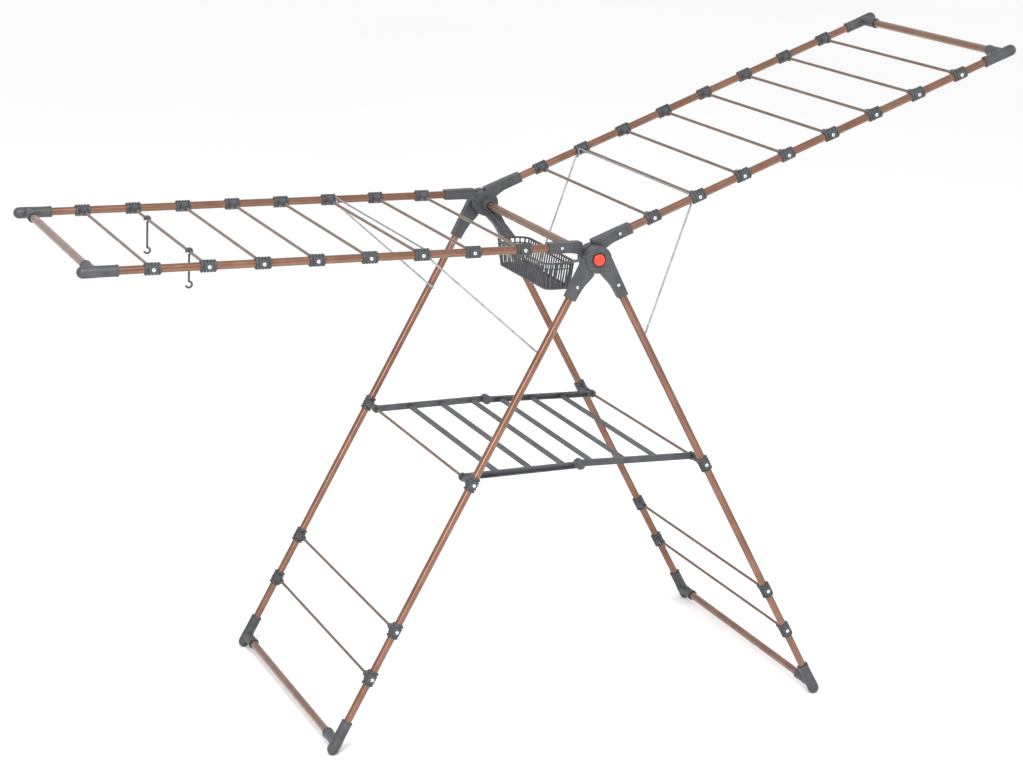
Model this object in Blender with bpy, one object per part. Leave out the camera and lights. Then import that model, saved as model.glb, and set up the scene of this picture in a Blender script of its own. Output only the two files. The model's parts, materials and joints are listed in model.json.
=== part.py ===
"""A free-standing winged clothes airer: crossed leg frames, hinged wings, stays, shelf and basket."""

import math

import bmesh
import bpy
from mathutils import Matrix, Vector

# ---------------------------------------------------------------- driving dimensions, in metres
HUB_HEIGHT = 0.8515         # hub axis above the floor
LEG_ANGLE = 28.4            # each leg frame from the vertical, degrees
LEG_HALF_WIDTH = 0.285      # hub centre plane to a leg tube's axis
WING_INSET = 0.0225         # a wing's side tubes run this far inside the leg tubes
LEG_OFFSET = 0.012          # leg tubes run this far outside the hub axis
WING_OFFSET = 0.019         # wing tubes run this far above the hub axis
LEFT_WING_ANGLE = 0.0       # above the horizontal, degrees
RIGHT_WING_ANGLE = 21.5
WING_REACH = 0.8935         # hub axis to the end of a wing corner's nose
NOSE_BEYOND_TUBE = 0.0257   # an end tube's axis to that nose
FIRST_RUNG_AT = 0.128
LAST_RUNG_GAP = 0.0972      # last rung to the end tube
RUNG_COUNT = 8
SHELF_ROD_AT = 0.4436       # along a leg from the hub
FOOT_BEYOND_BAR = 0.01235   # a bottom bar's axis to the centre of a foot's ball
LEG_RUNGS_ABOVE_BAR = (0.2198, 0.1271)
STAY_HOLE_AT = 0.190        # along a leg from the hub

TUBE_RADIUS = 0.007
TUBE_WALL = 0.0008
RUNG_RADIUS = 0.00275
WIRE_RADIUS = 0.00175
FOOT_WALL = 0.0035          # plastic outside a tube, here and in the next four
SOCKET_WALL = 0.0032
CLIP_WALL = 0.0033
ARM_WALL_Y = 0.0015
ARM_WALL_SIDE = 0.0018
CAP_OVER = 0.0032           # a hub cap is this much larger than the central tube, in radius
DISC_OVER = 0.017           # and a hub disc this much

ARM_LENGTH = 0.083          # hub axis to the mouth of an arm's socket
SOCKET_DEPTH = 0.045        # how far a side tube goes into its hub arm
CORNER_SLEEVE_LENGTH = 0.0675
FOOT_SLEEVE_LENGTH = 0.0648
BRANCH_LENGTH = 0.050       # tube axis to the mouth of a corner's or foot's side socket
CLIP_LENGTH = 0.027
CLIP_REACH = 0.026          # tube axis to the inner end of a clip's boss
CLIP_BOSS_OVERLAP = 0.0025  # the boss starts this far inside the sleeve's skin
CLIP_BOSS_TIP_WALL = 0.00225
SHELF_BOSS_REACH = 0.036
RAIL_INSET = 0.050          # shelf rails meet this far inside the leg tubes

TUBE_END_CLEAR = 0.002      # a cross tube stops this far short of the side tube's fitting wall
GAP = 0.0003                # round a tube in its socket, and between parts that touch
RUNNING_GAP = 0.0001        # round the central tube where the hub discs turn
LAYER_GAP = 0.0002          # each hub disc stops this short of its arm's middle

TUBE_SIDES = 12
AXLE_SIDES = 32
ROD_SIDES = 10
WIRE_SIDES = 8

# ---------------------------------------------------------------- derived places
LEG = math.radians(LEG_ANGLE)
WING_HALF_WIDTH = LEG_HALF_WIDTH - WING_INSET
RAIL_SPLIT = LEG_HALF_WIDTH - RAIL_INSET  # left shelf rails lie outside this, right rails inside it
FOOT_RADIUS = TUBE_RADIUS + FOOT_WALL
SOCKET_RADIUS = TUBE_RADIUS + SOCKET_WALL
CLIP_RADIUS = TUBE_RADIUS + CLIP_WALL
ARM_HALF_DEPTH = TUBE_RADIUS + ARM_WALL_Y     # an arm is this much each side of its tube, along Y
ARM_HALF_WIDTH = TUBE_RADIUS + ARM_WALL_SIDE  # and this much in the XZ plane, at the mouth
CAP_RADIUS = TUBE_RADIUS + CAP_OVER
DISC_RADIUS = TUBE_RADIUS + DISC_OVER
CLIP_BOSS_START = CLIP_RADIUS - CLIP_BOSS_OVERLAP
CLIP_BOSS_RADII = (CLIP_RADIUS - 0.0018, RUNG_RADIUS + CLIP_BOSS_TIP_WALL)
END_TUBE_AT = WING_REACH - NOSE_BEYOND_TUBE
RUNG_PITCH = (END_TUBE_AT - LAST_RUNG_GAP - FIRST_RUNG_AT) / (RUNG_COUNT - 1)
FOOT_AT = (HUB_HEIGHT + LEG_OFFSET * math.sin(LEG) - FOOT_RADIUS) / math.cos(LEG)
BOTTOM_BAR_AT = FOOT_AT - FOOT_BEYOND_BAR
LEG_RUNGS_AT = tuple(BOTTOM_BAR_AT - above for above in LEG_RUNGS_ABOVE_BAR)
NOSE_AT = WING_REACH - SOCKET_RADIUS
SIDE_TUBE_SHORT = SOCKET_RADIUS + 0.001  # a side tube stops this far before its cross tube's axis
RIGHT = math.radians(RIGHT_WING_ANGLE)
RIGHT_EXTREME = NOSE_AT * math.cos(RIGHT) - WING_OFFSET * math.sin(RIGHT) + SOCKET_RADIUS
HUB_X = (WING_REACH - RIGHT_EXTREME) / 2
HUB = Vector((HUB_X, 0, HUB_HEIGHT))
Y_AXIS = Vector((0, 1, 0))


class Member:
    """A straight run of the frame in the XZ plane: along leaves the hub, outward is its offset side."""

    def __init__(self, along, outward, offset, half_width):
        self.along = Vector(along)
        self.outward = Vector(outward)
        self.offset = offset
        self.half_width = half_width

    def place(self, distance, y, beside=0.0):
        """The point that far along the member, beside its tube's axis, at that Y."""
        return HUB + self.along * distance + self.outward * (self.offset + beside) + Y_AXIS * y

    def flat(self, distance, beside):
        """A point in the hub's own plane: along the member, and beside the hub axis."""
        return HUB + self.along * distance + self.outward * beside


def wing(angle, side):
    turn = math.radians(angle)
    along = (side * math.cos(turn), 0, math.sin(turn))
    outward = (-side * math.sin(turn), 0, math.cos(turn))
    return Member(along, outward, WING_OFFSET, WING_HALF_WIDTH)


def leg(side):
    along = (side * math.sin(LEG), 0, -math.cos(LEG))
    outward = (side * math.cos(LEG), 0, math.sin(LEG))
    return Member(along, outward, LEG_OFFSET, LEG_HALF_WIDTH)


LEFT_LEG = leg(-1)
RIGHT_LEG = leg(1)
LEFT_WING = wing(LEFT_WING_ANGLE, -1)
RIGHT_WING = wing(RIGHT_WING_ANGLE, 1)


# ---------------------------------------------------------------- materials
def material(name, color, roughness, metallic):
    made = bpy.data.materials.new(name)
    made.use_nodes = True
    shader = made.node_tree.nodes["Principled BSDF"]
    shader.inputs["Base Color"].default_value = (*color, 1)
    shader.inputs["Roughness"].default_value = roughness
    shader.inputs["Metallic"].default_value = metallic
    return made


def clear_scene():
    for old in list(bpy.data.objects):
        bpy.data.objects.remove(old)


clear_scene()
COPPER = ("copper_paint", (0.52, 0.25, 0.17), 0.32, 0.9)
PLASTIC = ("anthracite_plastic", (0.075, 0.085, 0.10), 0.5, 0.0)
ZINC = ("zinc_wire", (0.55, 0.56, 0.57), 0.35, 0.9)
RED = ("red_plastic", (0.75, 0.05, 0.03), 0.35, 0.0)


# ---------------------------------------------------------------- mesh helpers
def make_object(name, mesh_data, finish=None, helper=False):
    mesh = bpy.data.meshes.new(name)
    mesh_data.to_mesh(mesh)
    mesh_data.free()
    for face in mesh.polygons:
        face.use_smooth = True
    mesh.set_sharp_from_angle(angle=math.radians(40))
    made = bpy.data.objects.new(name, mesh)
    bpy.context.scene.collection.objects.link(made)
    if finish:
        slot, color, roughness, metallic = finish
        mesh.materials.append(material(name + "_" + slot, color, roughness, metallic))
    if helper:
        made.hide_render = True
        made.display_type = "WIRE"
    return made


def across(along):
    """Two directions square to along. Parts on one axis share them, so their flat sides line up."""
    hint = Y_AXIS if abs(along.y) < 0.9 else Vector((1, 0, 0))
    first = (hint - along * hint.dot(along)).normalized()
    return first, along.cross(first)


def ring(center, first, second, radius, sides):
    turns = [2 * math.pi * (i + 0.5) / sides for i in range(sides)]
    return [center + first * math.cos(t) * radius + second * math.sin(t) * radius for t in turns]


def loft(rings, closed=False):
    """A mesh through rings of equal count, with its ends capped, or joined end to end when closed."""
    made = bmesh.new()
    rows = [[made.verts.new(p) for p in row] for row in rings]
    count = len(rows[0])
    pairs = list(zip(rows, rows[1:]))
    if closed:
        pairs.append((rows[-1], rows[0]))
    else:
        made.faces.new(rows[0])
        made.faces.new(rows[-1])
    for low, high in pairs:
        for i in range(count):
            j = (i + 1) % count
            made.faces.new((low[i], low[j], high[j], high[i]))
    bmesh.ops.recalc_face_normals(made, faces=made.faces)
    return made


def rod(start, end, radius, sides):
    along = (end - start).normalized()
    first, second = across(along)
    return loft([ring(p, first, second, radius, sides) for p in (start, end)])


def turned(start, along, profile, sides):
    """A round solid: profile lists (distance along, radius)."""
    first, second = across(along)
    return loft([ring(start + along * d, first, second, r, sides) for d, r in profile])


def hollow_tube(start, end, radius, wall, sides):
    along = (end - start).normalized()
    first, second = across(along)
    corners = ((start, radius), (end, radius), (end, radius - wall), (start, radius - wall))
    return loft([ring(p, first, second, r, sides) for p, r in corners], closed=True)


def slab(outline, y_low, y_high):
    """A flat outline in the XZ plane, given thickness along Y."""
    return loft([[Vector((p.x, y, p.z)) for p in outline] for y in (y_low, y_high)])


def block(low, high):
    corners = ((low[0], low[2]), (high[0], low[2]), (high[0], high[2]), (low[0], high[2]))
    return slab([Vector((x, 0, z)) for x, z in corners], low[1], high[1])


def bent(points, radius, steps=4):
    """The points with each inner corner replaced by an arc of that radius."""
    path = [points[0]]
    for before, corner, after in zip(points, points[1:], points[2:]):
        back = (before - corner).normalized()
        ahead = (after - corner).normalized()
        half = back.angle(ahead) / 2
        reach = radius / math.tan(half)
        center = corner + (back + ahead).normalized() * radius / math.sin(half)
        start = corner + back * reach - center
        end = corner + ahead * reach - center
        sweep = start.angle(end)
        for i in range(steps + 1):
            low = math.sin(sweep * (1 - i / steps))
            high = math.sin(sweep * i / steps)
            path.append(center + (start * low + end * high) / math.sin(sweep))
    return path + [points[-1]]


def swept(path, radius, sides):
    """A round wire along a path, its section carried round the bends without twisting."""
    tangents = [(b - a).normalized() for a, b in zip(path, path[1:])]
    tangents = [tangents[0]] + tangents
    first, _ = across(tangents[0])
    rings = []
    for i, point in enumerate(path):
        ahead = tangents[min(i + 1, len(path) - 1)]
        mean = (tangents[i] + ahead).normalized()
        first = (first - mean * first.dot(mean)).normalized()
        rings.append(ring(point, first, mean.cross(first), radius, sides))
    return loft(rings)


def boolean(target, other, operation):
    modifier = target.modifiers.new(operation.lower(), "BOOLEAN")
    modifier.operation = operation
    modifier.solver = "EXACT"
    modifier.object = other


def build(name, finish, solids, cuts=()):
    """One node: the first solid, joined by the others, less the cuts."""
    made = make_object(name, solids[0], finish)
    for i, solid in enumerate(solids[1:]):
        boolean(made, make_object(f"{name}_add{i}", solid, helper=True), "UNION")
    for i, solid in enumerate(cuts):
        boolean(made, make_object(f"{name}_cut{i}", solid, helper=True), "DIFFERENCE")
    return made


SIDES = (("near", -1), ("far", 1))


# ---------------------------------------------------------------- tubes
def side_tubes(prefix, member, end_at):
    """The two long tubes of a frame, from inside their hub arms to the middle of their end fitting."""
    start_at = ARM_LENGTH - SOCKET_DEPTH
    for word, side in SIDES:
        y = side * member.half_width
        tube = hollow_tube(
            member.place(start_at, y), member.place(end_at, y), TUBE_RADIUS, TUBE_WALL, TUBE_SIDES
        )
        build(f"{prefix}_tube_{word}", COPPER, [tube])


def cross_tube(name, member, at):
    reach = member.half_width - SOCKET_RADIUS - TUBE_END_CLEAR
    tube = hollow_tube(
        member.place(at, -reach), member.place(at, reach), TUBE_RADIUS, TUBE_WALL, TUBE_SIDES
    )
    build(name, COPPER, [tube])


# ---------------------------------------------------------------- corners and feet
def fitting(name, member, side, tube_end, cross_at, sleeve_length, ball_at, radius):
    """A tee: a sleeve over the side tube that ends in a ball, with a side socket for the cross tube."""
    y = side * member.half_width
    inward = Y_AXIS * -side
    sleeve_start = member.place(ball_at + radius - sleeve_length, y)
    ball_rise = (0.0, 0.5, 0.8, 0.95)
    ball = [(math.sqrt(1 - rise * rise), rise) for rise in ball_rise]
    length = sleeve_length - radius
    profile = [(0.0, radius * 0.94), (0.0015, radius)]
    profile += [(length + rise * radius, share * radius) for share, rise in ball]
    profile += [(length + radius, radius * 0.12)]
    body = turned(sleeve_start, member.along, profile, TUBE_SIDES)
    root = member.place(cross_at, y)
    branch = turned(
        root, inward, [(0.0, radius * 0.98), (0.020, radius), (BRANCH_LENGTH, radius * 0.92)], TUBE_SIDES
    )
    bore = TUBE_RADIUS + GAP
    tube_hole = rod(sleeve_start - member.along * 0.01, member.place(tube_end + GAP, y), bore, TUBE_SIDES)
    reach = member.half_width - SOCKET_RADIUS - TUBE_END_CLEAR
    cross_start = member.place(cross_at, side * (reach + GAP))
    cross_hole = rod(cross_start, cross_start + inward * 0.08, bore, TUBE_SIDES)
    build(name, PLASTIC, [body, branch], [tube_hole, cross_hole])


# ---------------------------------------------------------------- rungs, each with its two clips
def clip_parts(member, at, side, reach):
    """A sleeve round the side tube and a tapered boss towards the rung."""
    y = side * member.half_width
    half = member.along * CLIP_LENGTH / 2
    center = member.place(at, y)
    sleeve = rod(center - half, center + half, CLIP_RADIUS, 8)
    root_radius, tip_radius = CLIP_BOSS_RADII
    boss = turned(
        center - Y_AXIS * side * CLIP_BOSS_START,
        Y_AXIS * -side,
        [(0.0, root_radius), (reach - CLIP_BOSS_START, tip_radius)],
        8,
    )
    hole = rod(center - half * 1.4, center + half * 1.4, TUBE_RADIUS + GAP, TUBE_SIDES)
    return [sleeve, boss], hole


def rung(name, member, at, reach=CLIP_REACH):
    inside = member.half_width - TUBE_RADIUS - 0.0015
    bar = rod(member.place(at, -inside), member.place(at, inside), RUNG_RADIUS, ROD_SIDES)
    solids = [bar]
    cuts = []
    for _, side in SIDES:
        more, hole = clip_parts(member, at, side, reach)
        solids += more
        cuts.append(hole)
    build(name, COPPER, solids, cuts)


# ---------------------------------------------------------------- hub arms
def arm(name, member, side, outer_disc, outline):
    """A flat arm with a tube socket. Its hub disc is half its thickness, and the other half is cut clear."""
    middle = side * member.half_width
    out_face = middle + side * ARM_HALF_DEPTH
    in_face = middle - side * ARM_HALF_DEPTH
    own_face, other_face = (out_face, in_face) if outer_disc else (in_face, out_face)
    toward_own = 1 if own_face > middle else -1
    own_edge = middle + toward_own * LAYER_GAP
    plate = slab([member.flat(s, n) for s, n in outline], in_face, out_face)
    start = Vector((HUB.x, own_edge, HUB.z))
    end = Vector((HUB.x, own_face, HUB.z))
    disc = rod(start, end, DISC_RADIUS, AXLE_SIDES)
    clear_end = Vector((HUB.x, other_face - toward_own * 0.004, HUB.z))
    clear = rod(start, clear_end, DISC_RADIUS + 0.0008, AXLE_SIDES)
    axle = TUBE_RADIUS + RUNNING_GAP
    bore = rod(HUB + Y_AXIS * (middle - 0.03), HUB + Y_AXIS * (middle + 0.03), axle, AXLE_SIDES)
    socket = rod(
        member.place(ARM_LENGTH - SOCKET_DEPTH - GAP, middle),
        member.place(ARM_LENGTH + 0.02, middle),
        TUBE_RADIUS + GAP,
        TUBE_SIDES,
    )
    build(name, PLASTIC, [plate, disc], [clear, bore, socket])


def wing_outline(top_start):
    """Along and beside the hub axis: the socket, and the shoulder that meets the disc."""
    low = WING_OFFSET - ARM_HALF_WIDTH
    high = WING_OFFSET + ARM_HALF_WIDTH
    return [
        (0.004, 0.004),
        (0.018, low - 0.002),
        (ARM_LENGTH, low),
        (ARM_LENGTH, high),
        (top_start, high + 0.001),
        (top_start, 0.012),
    ]


LEG_OUTLINE = [
    (0.0, 0.002),
    (DISC_RADIUS, LEG_OFFSET - DISC_RADIUS * 0.79),
    (DISC_RADIUS + 0.026, LEG_OFFSET - ARM_HALF_WIDTH - 0.0027),
    (ARM_LENGTH, LEG_OFFSET - ARM_HALF_WIDTH),
    (ARM_LENGTH, LEG_OFFSET + ARM_HALF_WIDTH),
    (0.010, 0.0235),
]


# ---------------------------------------------------------------- stays
STAY_BAR_BEHIND = 0.010     # hub side of the rung
STAY_BAR_ABOVE = 0.006      # above the wing tubes' axis
STAY_CLIP_CLEAR = 0.0006    # between the stay and the clip it passes
STAY_TIP_DEPTH = 0.004      # from a leg tube's inner skin into its bore
STAY_BEND = 0.0035


def stay(name, leg_member, wing_member, rung_at):
    """A bent wire: its ends sit in the leg tubes, it steps in under the wing tubes and crosses by a rung."""
    cross_at = rung_at - STAY_BAR_BEHIND
    knee_at = rung_at - CLIP_LENGTH / 2 - WIRE_RADIUS - STAY_CLIP_CLEAR
    inner = wing_member.half_width - CLIP_RADIUS - WIRE_RADIUS - GAP
    outer = wing_member.half_width - 0.001
    tip = leg_member.half_width - TUBE_RADIUS + STAY_TIP_DEPTH
    under = -(TUBE_RADIUS + WIRE_RADIUS + GAP)
    half = [
        leg_member.place(STAY_HOLE_AT, tip),
        leg_member.place(STAY_HOLE_AT, outer),
        wing_member.place(knee_at, outer, under),
        wing_member.place(knee_at, inner, under),
        wing_member.place(cross_at, inner, STAY_BAR_ABOVE),
    ]
    other = [Vector((p.x, -p.y, p.z)) for p in reversed(half)]
    path = bent(half + other, STAY_BEND)
    build(name, ZINC, [swept(path, WIRE_RADIUS, WIRE_SIDES)])


def stay_holes(leg_member):
    """Cuts in a leg frame's tubes for the stay's ends."""
    reach = leg_member.half_width
    low = leg_member.place(STAY_HOLE_AT, -reach)
    high = leg_member.place(STAY_HOLE_AT, reach)
    return rod(low, high, WIRE_RADIUS + GAP, WIRE_SIDES)


# ---------------------------------------------------------------- folding shelf
RAIL_HEIGHT = 0.011
RAIL_THICKNESS = 0.008
SHELF_PEAK = 0.004          # the middle of the shelf stands this much above the rods
SLAT_WIDTH = 0.010
SLAT_THICKNESS = 0.004
SLATS_AT = (0.067, 0.130, 0.193)
KNOB_RADIUS = 0.009         # round the shelf's middle pivot
RAIL_EYE_RADIUS = RUNG_RADIUS + 0.00475  # round a leg frame's rod
ROD_GAP = 0.00015


def shelf_half(name, member, side):
    """Two rails and three slats, turning on one leg frame's rod. side is -1 for the left half."""
    rod_point = member.place(SHELF_ROD_AT, 0)
    middle = Vector((HUB.x, 0, rod_point.z + SHELF_PEAK))
    along = (middle - rod_point).normalized()
    up = Vector((-along.z, 0, along.x)) * -side
    length = (middle - rod_point).length
    if side < 0:
        rail_low, rail_high = RAIL_SPLIT + 0.0005, RAIL_SPLIT + RAIL_THICKNESS
    else:
        rail_low, rail_high = RAIL_SPLIT - RAIL_THICKNESS, RAIL_SPLIT - 0.0005
    rise = RAIL_HEIGHT / 2

    def outline(start, end, half):
        return [
            rod_point + along * start - up * half,
            rod_point + along * end - up * half,
            rod_point + along * end + up * half,
            rod_point + along * start + up * half,
        ]

    solids = []
    cuts = []
    for _, y_side in SIDES:
        low, high = sorted((y_side * rail_low, y_side * rail_high))
        solids.append(slab(outline(-0.002, length, rise), low, high))
        for point, radius in ((rod_point, RAIL_EYE_RADIUS), (middle, KNOB_RADIUS)):
            start = Vector((point.x, low, point.z))
            end = Vector((point.x, high, point.z))
            solids.append(rod(start, end, radius, ROD_SIDES + 2))
        hole_start = Vector((rod_point.x, low - 0.01, rod_point.z))
        hole_end = Vector((rod_point.x, high + 0.01, rod_point.z))
        cuts.append(rod(hole_start, hole_end, RUNG_RADIUS + ROD_GAP, 16))
    for at in SLATS_AT:
        slat = outline(at - SLAT_WIDTH / 2, at + SLAT_WIDTH / 2, SLAT_THICKNESS / 2)
        solids.append(slab(slat, -rail_low - 0.003, rail_low + 0.003))
    build(name, PLASTIC, solids, cuts)


# ---------------------------------------------------------------- basket under the central tube
BASKET_HALF_LENGTH = 0.125
BASKET_HALF_WIDTH = 0.033
BASKET_RIM_Z = HUB_HEIGHT - 0.039
BASKET_DEPTH = 0.050
BASKET_WALL = 0.0025
BASKET_SLOTS = 14
BASKET_SLOT_WIDTH = 0.009
BASKET_FLARE = 0.007        # the rim is this much wider than the bottom, each side
BASKET_CORNERS = (0.014, 0.022)
SADDLE_AT = (WING_HALF_WIDTH - 0.0305, WING_HALF_WIDTH - 0.0155)  # along Y, each side
SADDLE_RADIUS = TUBE_RADIUS + 0.0045
STRAP_HALF_THICKNESS = 0.0016
STRAPS_AT = ((-0.0105, -0.0045), (0.000, 0.0105))


def rounded_outline(half_width, half_length, corner, z):
    """A rounded rectangle in a level plane, as a ring of points."""
    points = []
    for quarter, (x, y) in enumerate(((1, 1), (-1, 1), (-1, -1), (1, -1))):
        center = Vector((HUB.x + x * (half_width - corner), y * (half_length - corner), z))
        for step in range(4):
            turn = math.pi / 2 * (quarter + step / 3)
            points.append(center + Vector((math.cos(turn), math.sin(turn), 0)) * corner)
    return points


def basket_rows(inset, lift):
    """The basket's bottom and rim outlines, that far inside its skin and that much raised."""
    heights = (BASKET_RIM_Z - BASKET_DEPTH + (BASKET_WALL if inset else 0), BASKET_RIM_Z + lift)
    rows = []
    for shrink, z, corner in zip((BASKET_FLARE, 0.0), heights, BASKET_CORNERS):
        half_width = BASKET_HALF_WIDTH - shrink - inset
        half_length = BASKET_HALF_LENGTH - shrink - inset
        rows.append(rounded_outline(half_width, half_length, corner - inset, z))
    return rows


def basket(name):
    """A slotted tray below the central tube, with a saddle and two straps at each end."""
    slots = []
    slot_low = BASKET_RIM_Z - BASKET_DEPTH + 0.008
    slot_high = BASKET_RIM_Z - 0.006
    spacing = 2 * (BASKET_HALF_LENGTH - BASKET_CORNERS[0]) / BASKET_SLOTS
    for i in range(BASKET_SLOTS):
        y = (i + 0.5 - BASKET_SLOTS / 2) * spacing
        low = (HUB.x - 0.06, y - BASKET_SLOT_WIDTH / 2, slot_low)
        high = (HUB.x + 0.06, y + BASKET_SLOT_WIDTH / 2, slot_high)
        slots.append(block(low, high))
    solids = [loft(basket_rows(0.0, 0.0))]
    tube_holes = []
    for _, side in SIDES:
        saddle_low, saddle_high = (HUB + Y_AXIS * side * y for y in SADDLE_AT)
        solids.append(rod(saddle_low, saddle_high, SADDLE_RADIUS, TUBE_SIDES))
        hole_start = HUB + Y_AXIS * side * (SADDLE_AT[0] - 0.03)
        hole_end = HUB + Y_AXIS * side * (SADDLE_AT[1] + 0.01)
        tube_holes.append(rod(hole_start, hole_end, TUBE_RADIUS + GAP, AXLE_SIDES))
        for x_low, x_high in STRAPS_AT:
            solids.append(strap(side, x_low, x_high))
    build(name, PLASTIC, solids, [loft(basket_rows(BASKET_WALL, 0.001))] + slots + tube_holes)


def strap(side, x_low, x_high):
    """A flat strap from a saddle on the central tube down to the basket's rim."""
    top_y = sum(SADDLE_AT) / 2
    top_z = HUB_HEIGHT - SADDLE_RADIUS + 0.003
    end_y = BASKET_HALF_LENGTH - 0.0022
    end_z = BASKET_RIM_Z - 0.004
    rows = []
    for x in (x_low, x_high):
        row = [
            Vector((HUB.x + x, side * top_y, top_z + STRAP_HALF_THICKNESS)),
            Vector((HUB.x + x, side * top_y, top_z - STRAP_HALF_THICKNESS)),
            Vector((HUB.x + x, side * end_y, end_z - STRAP_HALF_THICKNESS)),
            Vector((HUB.x + x, side * end_y, end_z + STRAP_HALF_THICKNESS)),
        ]
        rows.append(row)
    return loft(rows)


# ---------------------------------------------------------------- hanger hooks
HOOK_RUNG = 6
HOOK_DROP = 0.0635          # rung axis to the bottom of the bowl
HOOK_SECTION = 0.0019
HOOK_EYE = RUNG_RADIUS + HOOK_SECTION + 0.0004
HOOK_BOWL = 0.0052
HOOK_SIDES = 8
HOOKS_AT = (("hanger_hook_near", -0.1405), ("hanger_hook_far", 0.1536))


def arc(center, radius, start, end, steps):
    """Points on a circle in the XZ plane, from one angle to another in degrees."""
    turns = [math.radians(start + (end - start) * i / steps) for i in range(steps + 1)]
    return [center + Vector((math.cos(t), 0, math.sin(t))) * radius for t in turns]


def hook_runs():
    """The middle lines of the eye, the shank and the bowl, about the rung's axis."""
    bowl_center = Vector((0, 0, HOOK_SECTION + HOOK_BOWL - HOOK_DROP))
    shank = [Vector((0, 0, -HOOK_EYE)), bowl_center + Vector((0, 0, HOOK_BOWL))]
    eye = arc(Vector((0, 0, 0)), HOOK_EYE, -100, 200, 12)
    bowl = arc(bowl_center, HOOK_BOWL, 100, -165, 10)
    return [shank, eye, bowl]


def hung(runs):
    """The runs turned about the origin until their middle of mass hangs straight below it."""
    pieces = [(a, b) for run in runs for a, b in zip(run, run[1:])]
    middle = sum(((a + b) / 2 * (b - a).length for a, b in pieces), Vector((0, 0, 0)))
    turn = Matrix.Rotation(math.atan2(middle.x, -middle.z), 3, "Y")
    return [[turn @ point for point in run] for run in runs]


def hanger_hook(name, y):
    """A moulded eye snapped round a rung, with a shank and an open bowl. It lies in the XZ plane."""
    center = LEFT_WING.place(FIRST_RUNG_AT + HOOK_RUNG * RUNG_PITCH, y)
    runs = [[center + point for point in run] for run in hung(hook_runs())]
    build(name, PLASTIC, [swept(run, HOOK_SECTION, HOOK_SIDES) for run in runs])


# ---------------------------------------------------------------- hub axle and caps
AXLE_HALF_LENGTH = LEG_HALF_WIDTH + ARM_HALF_DEPTH - 0.0005


def hub_cap(name, side):
    """A domed cap with a stem inside the central tube."""
    face = HUB + Y_AXIS * side * (LEG_HALF_WIDTH + ARM_HALF_DEPTH + GAP)
    stem = TUBE_RADIUS - TUBE_WALL - GAP
    profile = [
        (-0.012, stem),
        (0.0, stem),
        (0.0, CAP_RADIUS),
        (0.0025, CAP_RADIUS),
        (0.0038, CAP_RADIUS * 0.86),
        (0.0045, CAP_RADIUS * 0.5),
    ]
    build(name, RED, [turned(face, Y_AXIS * side, profile, AXLE_SIDES)])


# ---------------------------------------------------------------- the whole airer
def frame_pair(prefix, member, outer_disc, outline):
    for word, side in SIDES:
        arm(f"{prefix}_arm_{word}", member, side, outer_disc, outline)


def leg_frame(prefix, member, outer_disc):
    frame_pair(prefix, member, outer_disc, LEG_OUTLINE)
    side_tubes(prefix, member, BOTTOM_BAR_AT - SIDE_TUBE_SHORT)
    cross_tube(f"{prefix}_bottom_bar", member, BOTTOM_BAR_AT)
    for word, side in SIDES:
        fitting(
            f"{prefix}_foot_{word}", member, side, BOTTOM_BAR_AT - SIDE_TUBE_SHORT,
            BOTTOM_BAR_AT, FOOT_SLEEVE_LENGTH, FOOT_AT, FOOT_RADIUS,
        )
    for i, at in enumerate(LEG_RUNGS_AT):
        rung(f"{prefix}_rung_{i + 1}", member, at)
    rung(f"{prefix}_shelf_rod", member, SHELF_ROD_AT, SHELF_BOSS_REACH)
    for word, side in SIDES:
        boolean(
            bpy.data.objects[f"{prefix}_tube_{word}"],
            make_object(f"{prefix}_stay_hole_{word}", stay_holes(member), helper=True),
            "DIFFERENCE",
        )


def wing_frame(prefix, member, outer_disc, top_start):
    frame_pair(prefix, member, outer_disc, wing_outline(top_start))
    side_tubes(prefix, member, END_TUBE_AT - SIDE_TUBE_SHORT)
    cross_tube(f"{prefix}_end_tube", member, END_TUBE_AT)
    for word, side in SIDES:
        fitting(
            f"{prefix}_corner_{word}", member, side, END_TUBE_AT - SIDE_TUBE_SHORT,
            END_TUBE_AT, CORNER_SLEEVE_LENGTH, NOSE_AT, SOCKET_RADIUS,
        )
    for i in range(RUNG_COUNT):
        rung(f"{prefix}_rung_{i + 1}", member, FIRST_RUNG_AT + i * RUNG_PITCH)


leg_frame("right_leg", RIGHT_LEG, outer_disc=True)
leg_frame("left_leg", LEFT_LEG, outer_disc=False)
wing_frame("left_wing", LEFT_WING, outer_disc=True, top_start=0.022)
wing_frame("right_wing", RIGHT_WING, outer_disc=False, top_start=0.008)
build(
    "central_tube",
    COPPER,
    [
        hollow_tube(
            HUB - Y_AXIS * AXLE_HALF_LENGTH, HUB + Y_AXIS * AXLE_HALF_LENGTH,
            TUBE_RADIUS, TUBE_WALL, AXLE_SIDES,
        )
    ],
)
for cap_word, cap_side in SIDES:
    hub_cap(f"hub_cap_{cap_word}", cap_side)
stay("left_stay", LEFT_LEG, LEFT_WING, FIRST_RUNG_AT + 2 * RUNG_PITCH)
stay("right_stay", RIGHT_LEG, RIGHT_WING, FIRST_RUNG_AT + RUNG_PITCH)
shelf_half("shelf_left_half", LEFT_LEG, -1)
shelf_half("shelf_right_half", RIGHT_LEG, 1)
basket("basket")
for hook_name, hook_y in HOOKS_AT:
    hanger_hook(hook_name, hook_y)


# ---------------------------------------------------------------- origins on the joint axes
def set_origin(prefix, point):
    """Puts the origins of the parts with that name prefix on their joint axis. The shapes stay put."""
    for part in bpy.data.objects:
        if part.name.startswith(prefix) and not part.hide_render:
            part.data.transform(Matrix.Translation(-point))
            part.location = point


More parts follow.
